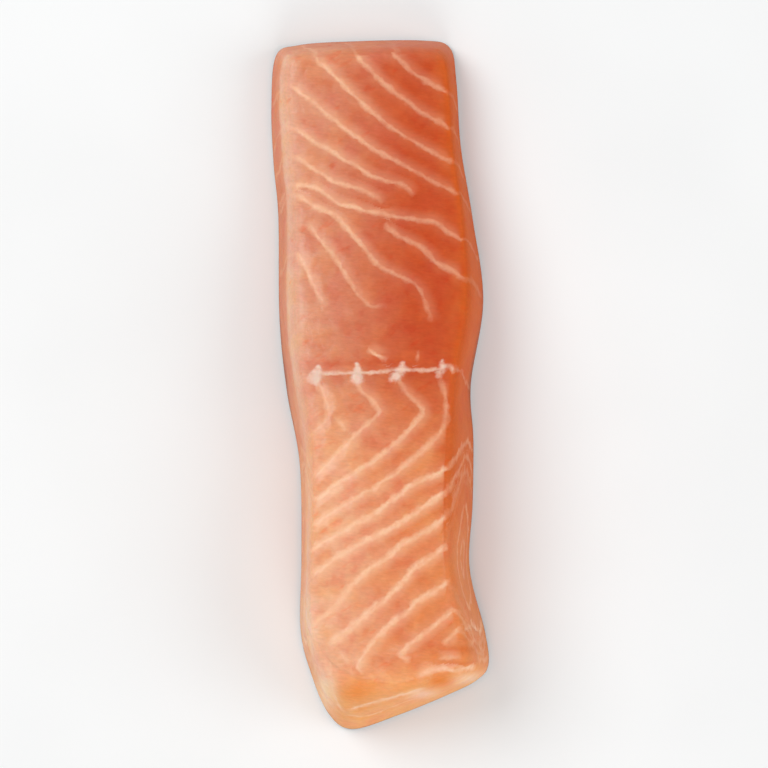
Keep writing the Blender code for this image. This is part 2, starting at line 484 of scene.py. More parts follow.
def feed(tree, made, feeds):
    """Gives inputs of a node, by name or number, each a value or a socket."""
    for key, value in feeds.items():
        if isinstance(value, bpy.types.NodeSocket):
            tree.links.new(value, made.inputs[key])
        else:
            made.inputs[key].default_value = value


def node(tree, kind, feeds=None, **settings):
    """Adds a node with these settings and feeds its inputs."""
    made = tree.nodes.new(kind)
    for name, value in settings.items():
        setattr(made, name, value)
    feed(tree, made, feeds or {})
    return made


def calculate(tree, operation, *values):
    """The result of a Math node."""
    return node(tree, "ShaderNodeMath", dict(enumerate(values)), operation=operation).outputs[0]


def product(tree, first, *others):
    """All the values multiplied."""
    for value in others:
        first = calculate(tree, "MULTIPLY", first, value)
    return first


def total(tree, first, *others):
    """The sum of all the values."""
    for value in others:
        first = calculate(tree, "ADD", first, value)
    return first


def falling(tree, gap, reach):
    """1 where the gap is nothing, falling by the same share over each reach."""
    return calculate(tree, "EXPONENT", calculate(tree, "DIVIDE", product(tree, gap, -1.0), reach))


def hump(tree, gap, reach):
    """1 where the gap is nothing, falling along a bell curve of this reach."""
    share = calculate(tree, "DIVIDE", gap, reach)
    return calculate(tree, "EXPONENT", product(tree, share, share, -1.0))


def vectors(tree, operation, *values, output=0):
    """The result of a Vector Math node."""
    made = node(tree, "ShaderNodeVectorMath", dict(enumerate(values)), operation=operation)
    return made.outputs[output]


def vector(tree, x=0.0, y=0.0, z=0.0):
    """A vector made of its three parts."""
    return node(tree, "ShaderNodeCombineXYZ", {0: x, 1: y, 2: z}).outputs[0]


def parts(tree, value):
    """The X, Y and Z of a vector."""
    return node(tree, "ShaderNodeSeparateXYZ", {0: value}).outputs


def grey(tree, value):
    """A vector or colour whose three parts are all this value."""
    return vector(tree, value, value, value)


def between(tree, value, low, high, start=0.0, end=1.0):
    """A smooth step from start, where value is low or less, to end, where it is high or more."""
    feeds = {"Value": value, "From Min": low, "From Max": high, "To Min": start, "To Max": end}
    return node(tree, "ShaderNodeMapRange", feeds, interpolation_type="SMOOTHSTEP").outputs[0]


def noise(tree, place, size, detail=2.0, roughness=0.5):
    """Noise from 0 to 1 whose lumps have this size; place and size are in the same unit."""
    feeds = {"Vector": place, "Scale": 1 / size, "Detail": detail, "Roughness": roughness}
    return node(tree, "ShaderNodeTexNoise", feeds).outputs["Fac"]


def swing(tree, place, size, detail=2.0, roughness=0.5):
    """Noise from -0.5 to 0.5 whose lumps have this size."""
    return calculate(tree, "SUBTRACT", noise(tree, place, size, detail, roughness), 0.5)


def bumped(tree, height, strength, millimetres):
    """The normal of a surface that is rough with this height."""
    feeds = {"Height": height, "Strength": strength, "Distance": millimetres * MM}
    return node(tree, "ShaderNodeBump", feeds).outputs[0]


def mixed(tree, share, first, second):
    """A mix of two colours, each a socket or the red, green and blue of a setting."""
    made = node(tree, "ShaderNodeMix", {"Factor": share}, data_type="RGBA")
    for key, value in ((6, first), (7, second)):
        feed(tree, made, {key: value if isinstance(value, bpy.types.NodeSocket) else (*value, 1.0)})
    return made.outputs[2]


def tinted(tree, share, colour, factors):
    """A colour, multiplied by three factors as far as share says."""
    return mixed(tree, share, colour, vectors(tree, "MULTIPLY", colour, factors))


def attribute(tree, name, output="Fac"):
    """A value that the mesh keeps."""
    return node(tree, "ShaderNodeAttribute", attribute_name=name).outputs[output]


def in_millimetres(tree, stretch=(1.0, 1.0, 1.0), turn=0.0):
    """The object's own coordinates in millimetres, turned about Z and then stretched."""
    place = node(tree, "ShaderNodeTexCoord").outputs["Object"]
    scale = tuple(value * MM for value in stretch)
    feeds = {"Vector": place, "Rotation": (0.0, 0.0, turn), "Scale": scale}
    return node(tree, "ShaderNodeMapping", feeds, vector_type="TEXTURE").outputs[0]


def new_material(name, **settings):
    """A material with its node tree and its shader, whose sockets take the settings."""
    material = bpy.data.materials.new(name)
    material.use_nodes = True
    shader = material.node_tree.nodes["Principled BSDF"]
    for key, value in settings.items():
        shader.inputs[key.replace("_", " ").title().replace("Ior", "IOR")].default_value = value
    return material, material.node_tree, shader


def shape_tree(name, **sizes):
    """A Geometry Nodes tree with named inputs; returns it with its input node and identifiers.

    A size is given as its kind of socket, such as Float, and its value.
    """
    tree = bpy.data.node_groups.new(name, "GeometryNodeTree")
    face = tree.interface
    face.new_socket("Geometry", in_out="INPUT", socket_type="NodeSocketGeometry")
    face.new_socket("Geometry", in_out="OUTPUT", socket_type="NodeSocketGeometry")
    keys = {}
    for title, (kind, value) in sizes.items():
        plain = title.replace("_", " ").capitalize()
        socket = face.new_socket(plain, in_out="INPUT", socket_type=f"NodeSocket{kind}")
        keys[socket.identifier] = value
    return tree, tree.nodes.new("NodeGroupInput"), keys


def keeping(tree, geometry, name, value, kind="FLOAT", domain="POINT"):
    """A geometry that keeps a value under a name."""
    feeds = {"Geometry": geometry, "Name": name, "Value": value}
    made = node(tree, "GeometryNodeStoreNamedAttribute", feeds, data_type=kind, domain=domain)
    return made.outputs[0]


def moved(tree, geometry, **feeds):
    """A geometry whose points are set to a Position or shifted by an Offset."""
    return node(tree, "GeometryNodeSetPosition", {"Geometry": geometry, **feeds}).outputs[0]


def close_tree(tree, geometry, material):
    """Ends a tree: its instances are made real and its material set."""
    real = node(tree, "GeometryNodeRealizeInstances", {0: geometry}).outputs[0]
    dressed = node(tree, "GeometryNodeSetMaterial", {"Geometry": real, "Material": material})
    node(tree, "NodeGroupOutput", {0: dressed.outputs[0]})


def apply_tree(made, tree, keys):
    """Runs a tree on an object and keeps the result as its plain mesh."""
    modifier = made.modifiers.new(tree.name, "NODES")
    modifier.node_group = tree
    for identifier, value in keys.items():
        modifier[identifier] = value
    evaluated = made.evaluated_get(bpy.context.evaluated_depsgraph_get())
    mesh = bpy.data.meshes.new_from_object(evaluated)
    made.modifiers.clear()
    made.data = mesh
    mesh.name = made.name
    mesh.shade_smooth()


def dress(piece):
    """Attaches a finished piece to the body that it moves with, and hides the solid that it stands in
    for.
    """
    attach(piece, BODY)
    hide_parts(NODE)


class FleshSettings(bpy.types.PropertyGroup):
    """Sizes and colours of the flesh."""

    furrow_depth: length_property("Furrow depth", "How deep a sheet lies between two flakes", 0.55)
    furrow_reach: length_property("Furrow reach", "How far a furrow slopes off into a flake", 1.0)
    sheet_height: length_property("Sheet height", "How far a sheet stands up in its furrow", 0.12)
    knot_height: length_property("Knot height", "How far a knot of tissue stands up", 0.35)
    grain: length_property("Grain height", "Height of the fine unevenness of the cut flesh", 0.14)
    grain_size: length_property("Grain size", "Size of the lumps of that unevenness", 3.4)
    loin_left: colour_property("Loin, left", "Flesh of the back, to the left", (237, 170, 130))
    loin_middle: colour_property("Loin, middle", "Flesh of the back", (228, 141, 98))
    loin_right: colour_property("Loin, right", "Flesh of the back, to the right", (227, 136, 84))
    belly_left: colour_property("Belly, left", "Flesh of the belly, to the left", (221, 143, 110))
    belly_middle: colour_property("Belly, middle", "Flesh of the belly", (209, 106, 70))
    belly_right: colour_property("Belly, right", "Flesh of the belly, to the right", (202, 82, 40))
    rim: colour_property("Rim", "Deep orange of the right cut face", (212, 97, 40))
    # Painted glow: a pale colour that stands in for light shining through the thin flesh of the left
    # rim.
    painted_rim_glow: colour_property("Painted rim glow", "Painted glow of light through the thin flesh at the left cut face", (235, 188, 160))
    fat: colour_property("Fat", "Fat below the fin of the back", (242, 168, 108))
    cream: colour_property("Cream", "Palest fat at the corners of the back end", (250, 216, 186))
    amber: colour_property("Amber", "Deepest patches of that fat", (235, 136, 64))
    sheet: colour_property("Sheet", "White connective tissue between the flakes", (252, 200, 162))
    knot: colour_property("Knot", "White tissue where a pin bone sat", (240, 204, 184))
    dark: colour_property("Dark muscle", "Brown muscle next to the skin", (138, 84, 68))


class SkinSettings(bpy.types.PropertyGroup):
    """Sizes and colours of the skin and its scales."""

    thickness: length_property("Thickness", "Thickness of the skin", 0.65)
    scale_length: length_property("Scale length", "Length of one scale along the fish", 3.3)
    scale_width: length_property("Scale width", "Width of one scale", 2.9)
    row_spacing: length_property("Row spacing", "Distance between rows of scales along the fish", 1.5)
    pitch: length_property("Pitch", "Distance between two scales of a row", 2.5)
    tilt: FloatProperty(
        name="Tilt", description="Lean of a scale, its free end outwards", subtype="ANGLE",
        default=radians(4.0),
    )
    lost: FloatProperty(
        name="Lost scales", description="Share of the scales that have come off", subtype="FACTOR",
        min=0, max=1, default=0.10,
    )
    seed: IntProperty(name="Seed", description="Draws how scales differ", default=7)
    silver: colour_property("Silver", "Scales of the belly", (224, 224, 226))
    steel: colour_property("Steel", "Scales of the back", (150, 152, 158))
    pocket: colour_property("Pocket", "Skin between the scales", (118, 116, 118))


class StageSettings(bpy.types.PropertyGroup):
    """The camera, the lights and the floor."""

    roll: FloatProperty(
        name="Roll", description="How far the portion leans to the left in the picture",
        subtype="ANGLE", default=radians(2.2),
    )
    camera_height: length_property("Camera height", "Camera above the floor", 1300.0)
    picture_height: length_property("Picture height", "Height of the picture on the floor", 166.0)
    floor: colour_property("Floor", "Colour of the floor", (246, 247, 247))
    key_power: FloatProperty(name="Key power", description="Watts of the main light", default=5.3)
    sky: FloatProperty(name="Sky", description="Brightness of the even light all round", default=0.42)


class SalmonSettings(bpy.types.PropertyGroup):
    """All that a user would change."""

    flesh: PointerProperty(type=FleshSettings)
    skin: PointerProperty(type=SkinSettings)
    stage: PointerProperty(type=StageSettings)


# Flesh: faces of the upper face across and along the portion, and rings down its cut faces.
ACROSS, ALONG, RINGS = 120, 400, 34
RING_CROWDING = 1.6  # above 1, the rings crowd together towards the upper edge
FLESH_FLOOR = 0.9  # height of the hidden face of the flesh on the skin
SIDES = ("left", "middle", "right")

# Sheets on the cut faces. In the loin they curve round a centre, as rings of a cone do. A broad
# white seam parts it from the fat of the back, where they zigzag, and in the belly they slant.
LOIN_CENTRE = (-38.0, 0.46)  # y, and share of the height
LOIN_STRETCH = 1.15  # length of a ring along the portion, over its height
LOIN_CALM = 12.0  # nearer than this to the centre, a sheet fades out below the rim
RING_HEIGHTS = (3.0, 8.6)  # half the heights of the rings that stay on the cut face
RING_HALF = 0.6  # half the width of a sheet there
TURN_Y = -8.0  # where the loin's rings end and the belly's slanting sheets begin
BELLY_SLANT = 5.0  # how far along the portion a sheet of the belly slants over the height
END_SLANT = -0.05  # on the belly end, over its height and as a share of the width
BACK_SEAM_Y = (-54.0, -53.5)  # at the left and right cut faces
BACK_SEAM_HALF, BACK_SEAM_STRENGTH, BACK_SEAM_BEND = 0.85, 0.85, 0.7  # bend: share of a zigzag's
ZIGZAG = ((0.02, 1.0), (0.34, -1.4), (0.66, 0.9), (1.0, 0.0))  # share of the height, and shift of y
ZIGZAGS, ZIGZAG_SPACING, ZIGZAG_HALF = 2, 3.6, 0.55
CUT_STRENGTH = 0.36  # how strongly a sheet shows on a cut face, against the upper face
RIM_SHARE, SKIN_SHARE = 0.995, 0.03  # shares of the height where a line down a cut face starts, ends
BELOW_RIM = 0.96  # share of the height where a line starts that shows only on the cut face
LINE_STEPS, EDGE_STEPS = 40, 240  # places along a line down a cut face, and along an edge
CUT_MARGIN = 0.004  # share of a cut face's length, at each end, that has no sheets
REACH_OF_RIM = 1.5  # a line that ends this near to the rim goes on over it
STEEPEST = 2.5  # unless it rises by more than this for each millimetre across
TAPER = 2.2  # length over which a sheet fades out at its ends
HIGH_ABOVE = 60.0  # a height above all of the flesh

# Patches of colour on the fat at the back end: colour, share, place x, y and reach in x and y.
BACK_PATCHES = (
    ("cream", 0.80, -15.0, -65.0, 2.2, 5.5),
    ("cream", 0.50, -18.0, -51.0, 2.5, 6.0),
    ("cream", 0.60, 15.5, -64.4, 3.6, 1.5),
    ("cream", 0.60, 5.6, -67.2, 3.0, 1.1),
    ("amber", 0.70, -7.6, -65.2, 3.8, 2.6),
    ("amber", 0.95, 9.9, -64.5, 2.8, 1.4),
    ("rim", 0.55, 13.0, -57.5, 4.2, 0.8),
    ("rim", 0.55, 13.4, -60.7, 4.2, 0.5),
)


def cut_points(u, y, w):
    """Points of a cut face at y and share w of its height; those past its ends are left out."""
    v = np.linspace(0, 1, EDGE_STEPS)
    low, high = (warp(np.full_like(v, u), v, np.full_like(v, level))[:, 1] for level in (0, 1))
    lean = cut_profile(w)
    along = np.array([np.interp(at, (1 - s) * low + s * high, v) for at, s in zip(y, lean)])
    inside = (along > CUT_MARGIN) & (along < 1 - CUT_MARGIN)
    return warp(np.full(inside.sum(), u), along[inside], w[inside])


def rim_line(u):
    """The upper rim, on the left where u is 0 and on the right where it is 1."""
    v = np.linspace(0, 1, EDGE_STEPS)
    return warp(np.full_like(v, u), v, np.ones_like(v))


def rim_at(u, y):
    """The point of the upper rim at y."""
    rim = rim_line(u)
    return np.array([np.interp(y, rim[:, 1], part) for part in rim.T])


def unsteady(y, share, amount=0.5):
    """Waves of a line down a cut face, which differ a little with the place y where it starts."""
    return amount * (np.sin(7 * share + 0.3 * y) + 0.5 * np.sin(17 * share + 0.6 * y)) * (1 - share)


def zigzag(share):
    """How far along the portion a sheet near the back has shifted at this share of the height."""
    shares, shifts = np.array(ZIGZAG).T
    return smooth_through(np.column_stack((shares, shifts)), share)


def down_the_cut(u, y):
    """How a sheet that reaches the upper rim at y goes on down a cut face to the skin."""
    share = np.linspace(RIM_SHARE, SKIN_SHARE, LINE_STEPS)
    centre, level = LOIN_CENTRE
    height = rim_at(u, y)[2]
    if y > TURN_Y:
        places = y - BELLY_SLANT * (1 - share) ** 1.3
    elif y > BACK_SEAM_Y[int(u)]:
        across = ((share - level) * height) ** 2
        reach = ((y - centre) / LOIN_STRETCH) ** 2 + ((1 - level) * height) ** 2
        side = LOIN_STRETCH * np.sqrt(np.maximum(reach - across, 0))
        places = centre + (side if y > centre else -side)
    else:
        places = y + zigzag(share)
    return cut_points(u, places + unsteady(y, share), share)


def down_the_end(x):
    """How a sheet that reaches the rim of the belly end at x goes on down that end to the skin."""
    share = np.linspace(RIM_SHARE, SKIN_SHARE, LINE_STEPS)
    u = np.linspace(0, 1, EDGE_STEPS)
    rim = warp(u, np.ones_like(u), np.ones_like(u))
    across = np.interp(x, rim[:, 0], u) + END_SLANT * (1 - share) + 0.01 * np.sin(9 * share + x)
    return warp(across, np.ones_like(share), share)


def within_rims(path):
    """The points of a path seen from above that aren't past the rim of a cut face."""
    x, y = path.T
    left, right = rim_line(0.0), rim_line(1.0)
    inside = (x > np.interp(y, left[:, 1], left[:, 0])) & (x < np.interp(y, right[:, 1], right[:, 0]))
    return path[inside | (y < left[0, 1])]


def over_the_rim(points, shows):
    """A sheet and its strength, carried on over the rim where its last point is near to it."""
    (x0, y0), (x1, y1) = points[-4, :2], points[-1, :2]
    u = float(x1 > 0)
    rim = rim_line(u)
    rim_x = np.interp(y1, rim[:, 1], rim[:, 0])
    steep = abs(y1 - y0) > STEEPEST * abs(x1 - x0)
    strength = shows[-1] * CUT_STRENGTH
    if y1 > rim[-1, 1]:
        down = down_the_end(x1)
    elif y1 < rim[0, 1] or abs(x1) < abs(rim_x) - REACH_OF_RIM or steep:
        return points, shows
    else:
        y = y1 + (y1 - y0) / (x1 - x0) * (rim_x - x1)
        down = down_the_cut(u, y)
        strength *= min(1.0, abs(y - LOIN_CENTRE[0]) / LOIN_CALM)
    return np.vstack((points, down)), np.append(shows, np.full(len(down), strength))


def upper_sheets(shell):
    """The sheets of the upper face, laid on it from above and carried on over its rims."""
    lines = []
    down = Vector((0, 0, -1))
    for half_width, strength, places in SHEETS:
        path = within_rims(smooth_curve(places, 12, closed=False))
        hits = [shell.ray_cast(Vector((x, y, HIGH_ABOVE)), down)[0] for x, y in path]
        points = np.array([hit for hit in hits if hit is not None])
        # The belly's sheets show less and less towards the right, where its flesh is redder.
        shows = np.linspace(*np.broadcast_to(strength, 2), len(points))
        shows *= 1 - 0.5 * ease(points[:, 1], 8, 14) * ease(points[:, 0], -8, 8)
        for _ in range(2):
            points, shows = over_the_rim(points[::-1], shows[::-1])
        lines.append((points, half_width, shows))
    return lines


def cut_sheets():
    """The sheets that show only on the cut faces."""
    lines = []
    centre, level = LOIN_CENTRE
    turn = np.linspace(0, 2 * pi, 60)
    down = np.linspace(BELOW_RIM, SKIN_SHARE, LINE_STEPS)
    bend = zigzag(down)
    for u, seam in zip((0.0, 1.0), BACK_SEAM_Y):
        height = rim_at(u, centre)[2]
        for radius in RING_HEIGHTS:
            radii = radius * (1 + 0.12 * np.sin(2 * turn + radius) + 0.06 * np.sin(5 * turn + u))
            y = centre + LOIN_STRETCH * radii * np.cos(turn)
            w = level + radii * np.sin(turn) / height
            lines.append((cut_points(u, y, w), RING_HALF, CUT_STRENGTH))
        points = cut_points(u, seam + BACK_SEAM_BEND * bend, down)
        lines.append((points, BACK_SEAM_HALF, BACK_SEAM_STRENGTH))
        for step in range(1, ZIGZAGS + 1):
            start = seam - ZIGZAG_SPACING * step
            points = cut_points(u, start + bend + unsteady(start, down, 0.25), down)
            lines.append((points, ZIGZAG_HALF, CUT_STRENGTH))
    # A line of three points or fewer is too short to show.
    kept = [line for line in lines if len(line[0]) > 3]
    return [(points, half, np.full(len(points), shows)) for points, half, shows in kept]


def faded(points, shows):
    """The strength along a line, let down to nothing at its two ends."""
    along = np.append(0, np.cumsum(np.linalg.norm(np.diff(points, axis=0), axis=1)))
    return shows * np.clip(np.minimum(along, along[-1] - along) / TAPER, 0, 1) ** 0.7


def line_object(lines):
    """All the sheets as one mesh of edges that keeps each one's half width and strength."""
    counts = [len(points) for points, _, _ in lines]
    starts = np.append(0, np.cumsum(counts))
    edges = [(i, i + 1) for a, b in zip(starts, starts[1:]) for i in range(a, b - 1)]
    made = mesh_object("sheet_lines", np.vstack([points for points, _, _ in lines]), [], edges)
    store(made, "half_width", np.repeat([half for _, half, _ in lines], counts))
    store(made, "strength", np.concatenate([faded(points, shows) for points, _, shows in lines]))
    return made


def knot_shares(points):
    """How much each point of the upper face belongs to one of the white knots, from 0 to 1."""
    free = np.ones(len(points))
    for x, y, radius, white in KNOT_LOBES:
        free *= 1 - white * bump_at(np.hypot(points[:, 0] - x, points[:, 1] - y), 0, radius)
    return 1 - free


def nearest_values(tree, lines, spacing):
    """For each point of the flesh: the nearest sheet's place, course, half width and strength."""
    curve = node(tree, "GeometryNodeMeshToCurve", {0: lines}).outputs[0]
    dots = node(tree, "GeometryNodeCurveToPoints", {"Curve": curve, "Length": spacing}, mode="LENGTH")
    kept = keeping(tree, dots.outputs["Points"], "course", dots.outputs["Tangent"], "FLOAT_VECTOR")
    nearest = node(tree, "GeometryNodeSampleNearest", {"Geometry": kept}).outputs[0]

    def sample(value, kind):
        feeds = {"Geometry": kept, "Value": value, "Index": nearest}
        return node(tree, "GeometryNodeSampleIndex", feeds, data_type=kind).outputs[0]

    def named(name, kind):
        return node(tree, "GeometryNodeInputNamedAttribute", {0: name}, data_type=kind).outputs[0]

    position = node(tree, "GeometryNodeInputPosition").outputs[0]
    return (
        sample(position, "FLOAT_VECTOR"),
        sample(named("course", "FLOAT_VECTOR"), "FLOAT_VECTOR"),
        sample(named("half_width", "FLOAT"), "FLOAT"),
        sample(named("strength", "FLOAT"), "FLOAT"),
    )


def relief_tree(look, lines, material):
    """Geometry Nodes that part the flesh into flakes along the sheets nearest to each point."""
    tree, given, keys = shape_tree(
        "flake_relief",
        sheets=("Object", lines),
        furrow_depth=("Float", look.furrow_depth),
        furrow_reach=("Float", look.furrow_reach),
        sheet_height=("Float", look.sheet_height),
        knot_height=("Float", look.knot_height),
        grain_height=("Float", look.grain),
        grain_size=("Float", look.grain_size),
        material=("Material", material),
    )
    size = given.outputs
    sheets = node(tree, "GeometryNodeObjectInfo", {"Object": size["Sheets"]}).outputs["Geometry"]
    near, course, half, strength = nearest_values(tree, sheets, 0.2 * MM)
    place = node(tree, "GeometryNodeInputPosition").outputs[0]
    normal = node(tree, "GeometryNodeInputNormal").outputs[0]
    away = vectors(tree, "SUBTRACT", place, near)
    gap = vectors(tree, "LENGTH", away, output=1)
    side = vectors(tree, "DOT_PRODUCT", away, vectors(tree, "CROSS_PRODUCT", normal, course), output=1)

    # A furrow falls off sharply from its sheet, so that a flake is rounded like a pillow. The sheet
    # stands a little proud in it, and a knot stands clear of the flesh.
    furrow = product(tree, size["Furrow depth"], strength, falling(tree, gap, size["Furrow reach"]))
    across_sheet = hump(tree, gap, product(tree, half, MM))
    sheet = product(tree, size["Sheet height"], strength, across_sheet)
    knot = node(tree, "GeometryNodeInputNamedAttribute", {0: "knot"}, data_type="FLOAT").outputs[0]
    knot = product(tree, size["Knot height"], between(tree, knot, 0.1, 0.9))
    scale = calculate(tree, "DIVIDE", 1.0, size["Grain size"])
    feeds = {"Vector": place, "Scale": scale, "Detail": 4.0}
    lumps = node(tree, "ShaderNodeTexNoise", feeds).outputs["Fac"]
    grain = product(tree, calculate(tree, "SUBTRACT", lumps, 0.5), size["Grain height"], 2.0)
    rise = calculate(tree, "SUBTRACT", total(tree, grain, sheet, knot), furrow)
    # It dies out towards the skin.
    rise = product(tree, rise, between(tree, parts(tree, place)[2], 1.0 * MM, 2.4 * MM))
    offset = vectors(tree, "MULTIPLY", normal, grey(tree, rise))

    geometry = size["Geometry"]
    kept = {
        "sheet_gap": calculate(tree, "DIVIDE", gap, MM),
        "sheet_side": calculate(tree, "DIVIDE", side, MM),
        "sheet_half": half,
        "sheet_strength": strength,
    }
    for name, value in kept.items():
        geometry = keeping(tree, geometry, name, value)
    close_tree(tree, moved(tree, geometry, Offset=offset), size["Material"])
    return tree, keys


def blend(first, second, share):
    """Colours between two, for an array of shares."""
    share = np.clip(share, 0, 1)[:, None]
    return first * (1 - share) + second * share


def flesh_tint(look, points, places, rims):
    """The flesh's colour at each point, before its sheets and its fine variation."""
    x, y, z = points.T
    u = places[:, 0]
    # Only the top of the left cut face has the painted glow of light through the thin flesh: below it,
    # the flesh is as deep as further inside.
    inner_x = x + 13 * ease(rims, 0.12, 0.6) * (1 - ease(u, 0.0, 0.8))

    def across(part):
        left, middle, right = (np.array(getattr(look, f"{part}_{n}")) for n in SIDES)
        return blend(blend(left, middle, ease(inner_x, -14, 2)), right, ease(inner_x, -2, 9))

    tint = blend(across("loin"), across("belly"), ease(y, -22, 10))
    # A painted shade of the seam's furrow turns the flesh redder right above the seam; below the seam,
    # to the right, the flesh itself is redder.
    painted_seam_shade_and_red = 0.45 * bump_at(y, 4.7, 0.8) * ease(x, -15, -11)
    painted_seam_shade_and_red += 0.3 * bump_at(y, -1.5, 3.0) * ease(x, 2, 9)
    tint = blend(tint, np.array(look.belly_right), painted_seam_shade_and_red)
    # Painted glow: pale colour along the left rim that stands in for light shining through the thin,
    # glassy flesh.
    tint = blend(tint, np.array(look.painted_rim_glow), 0.85 * ease(-inner_x, 14.5, 20.5))
    on_cut = ease(rims, 0.0, 0.2)
    near_right = np.clip((u - 0.86 - 0.08 * ease(-y, 26, 40)) / 0.14, 0, 1)
    tint = blend(tint, np.array(look.rim), 0.85 * near_right * ease(y, -62, -16))
    tint = blend(tint, np.array(look.fat), 0.9 * ease(-y, 58, 67))
    tint = blend(tint, np.array(look.cream), 0.2 * ease(y, 68, 75))
    for name, share, at_x, at_y, reach_x, reach_y in BACK_PATCHES:
        spot = bump_at(x, at_x, reach_x) * bump_at(y, at_y, reach_y)
        tint = blend(tint, np.array(getattr(look, name)), share * spot)
    brown = bump_at(y, 3.0, 13.0)
    share = (0.12 + 0.6 * brown) * on_cut * bump_at(z, SKIN_EDGE, 0.6 + 3.2 * brown)
    tint = blend(tint, np.array(look.dark), share)
    return np.column_stack((tint, np.ones(len(tint))))


def sheet_shares(tree, place, on_cut):
    """How much of a sheet, of a knot and of the haze beside a sheet there is at a point."""
    names = ("strength", "half", "gap", "side")
    strength, half, gap, side = (attribute(tree, f"sheet_{name}") for name in names)
    width = product(tree, half, between(tree, noise(tree, place, 2.2), 0.3, 0.7, 0.6, 1.35))
    width = product(tree, width, between(tree, on_cut, 0.5, 1.0, 1.0, 1.15))
    stray = product(tree, swing(tree, place, 3.0), between(tree, on_cut, 0.5, 1.0, 0.9, 2.4))
    beside = calculate(tree, "ABSOLUTE", total(tree, side, stray))
    beside = calculate(tree, "MAXIMUM", beside, total(tree, gap, -0.5))
    share = calculate(tree, "DIVIDE", beside, width)
    frayed = between(tree, noise(tree, place, 0.7, 3.0, 0.6), 0.3, 0.6, 0.72, 1.0)
    broken = between(tree, noise(tree, place, 3.1, 3.0), 0.32, 0.58, 0.5, 1.0)
    line = product(tree, between(tree, share, 0.1, 1.6, 1.0, 0.0), strength, broken, frayed)
    lumpy = swing(tree, place, 1.3)
    around = total(tree, attribute(tree, "knot"), product(tree, lumpy, 0.8))
    knot = product(tree, between(tree, around, 0.16, 0.86), between(tree, lumpy, -0.2, 0.1, 0.86, 1.0))
    below = between(tree, side, -0.4, 0.4, 0.35, 1.0)
    haze = product(tree, between(tree, gap, 0.2, 2.8, 0.42, 0.0), strength, below)
    return line, knot, product(tree, haze, calculate(tree, "SUBTRACT", 1.0, on_cut))


def flesh_material(look):
    """Moist flesh: patches of tint, short fibres, white sheets, and a wet coat."""
    material, tree, shader = new_material(
        "raw_salmon_flesh", specular_ior_level=0.0, coat_roughness=0.17, coat_ior=1.36,
        subsurface_weight=0.22, subsurface_radius=(1.0, 0.36, 0.16), subsurface_scale=2.0 * MM,
    )
    place = in_millimetres(tree)
    fibres = in_millimetres(tree, (3.2, 1.0, 1.0), radians(-8))
    along_sheets = in_millimetres(tree, (2.6, 1.0, 1.0), radians(32))

    tint = attribute(tree, "flesh_tint", "Color")
    on_cut = attribute(tree, "on_cut")
    patches = noise(tree, place, 6.5, 3.0, 0.55)
    tint = tinted(tree, between(tree, patches, 0.48, 0.64), tint, (1.02, 0.99, 0.88))
    tint = tinted(tree, between(tree, patches, 0.50, 0.34), tint, (1.0, 0.92, 0.98))
    clouds = noise(tree, place, 3.4, 2.0, 0.5)
    calm = between(tree, on_cut, 0.0, 1.0, 1.0, 0.4)
    for end, factors in ((0.70, (1.04, 1.15, 1.20)), (0.30, (0.97, 0.82, 0.76))):
        tint = tinted(tree, product(tree, between(tree, clouds, 0.50, end), calm), tint, factors)
    flecks = between(tree, noise(tree, along_sheets, 2.0, 2.0), 0.62, 0.76, 0.0, 0.8)
    tint = tinted(tree, flecks, tint, (1.02, 0.76, 0.68))
    strands = noise(tree, fibres, 0.5, 3.0, 0.6)
    tint = vectors(tree, "MULTIPLY", tint, grey(tree, between(tree, strands, 0.3, 0.7, 0.95, 1.04)))

    # The seam of the pin bones is nearly as white as their knots, and has no haze beside it.
    line, knot, haze = sheet_shares(tree, place, on_cut)
    from_seam = calculate(tree, "ABSOLUTE", total(tree, parts(tree, place)[1], -SEAM_Y))
    at_seam = product(tree, between(tree, from_seam, 1.6, 0.9), 0.75)
    haze = product(tree, haze, between(tree, from_seam, 2.0, 5.0))
    tint = mixed(tree, haze, tint, look.sheet)
    tint = mixed(tree, line, tint, mixed(tree, at_seam, look.sheet, look.knot))
    tint = mixed(tree, knot, tint, look.knot)

    lumps = noise(tree, place, 1.5, 4.0, 0.6)
    normal = bumped(tree, total(tree, lumps, product(tree, strands, 0.45)), 0.45, 0.14)
    feeds = {
        "Base Color": tint,
        "Normal": normal,
        "Coat Normal": normal,
        "Roughness": between(tree, lumps, 0.3, 0.7, 0.38, 0.52),
        "Coat Weight": between(tree, on_cut, 0.0, 1.0, 0.8, 0.2),
    }
    feed(tree, shader, feeds)
    return material


class SALMON_OT_flesh(bpy.types.Operator):
    """Makes the flesh, with the sheets that part it into flakes"""

    bl_idname = "salmon.flesh"
    bl_label = "Flesh"

    def execute(self, context):
        look = context.scene.salmon.flesh
        places, faces = closed_box(ACROSS, ALONG, RINGS)
        u, v, ring = places.T
        w = 1 - (ring / RINGS) ** RING_CROWDING
        points = warp(u, v, w)
        points[ring == RINGS, 2] = FLESH_FLOOR
        flesh = mesh_object("flesh", points, faces)
        tints = flesh_tint(look, points, places, 1 - w)
        store(flesh, "flesh_tint", tints, "FLOAT_COLOR")
        store(flesh, "on_cut", np.where(ring > 0, 1.0, 1 - ease(np.minimum(u, 1 - u), 0, 0.06)))
        store(flesh, "knot", knot_shares(points))
        shell = BVHTree.FromPolygons(points.tolist(), faces)
        guide = line_object(upper_sheets(shell) + cut_sheets())
        tree, keys = relief_tree(look, guide, flesh_material(look))
        apply_tree(flesh, tree, keys)
        bpy.data.objects.remove(guide)
        dress(flesh)
        return {"FINISHED"}


SKIN_FLOOR = 0.30  # height of the underside of the skin, below which the scales lie
SET_IN = 0.15  # how far in from the flesh the edge of the skin lies
ROUNDED_IN, HIDDEN_IN = 0.5, 0.3  # how much further in its underside and its hidden upper face end
SKIN_ACROSS, SKIN_ALONG, EDGE_RINGS = 70, 220, 6

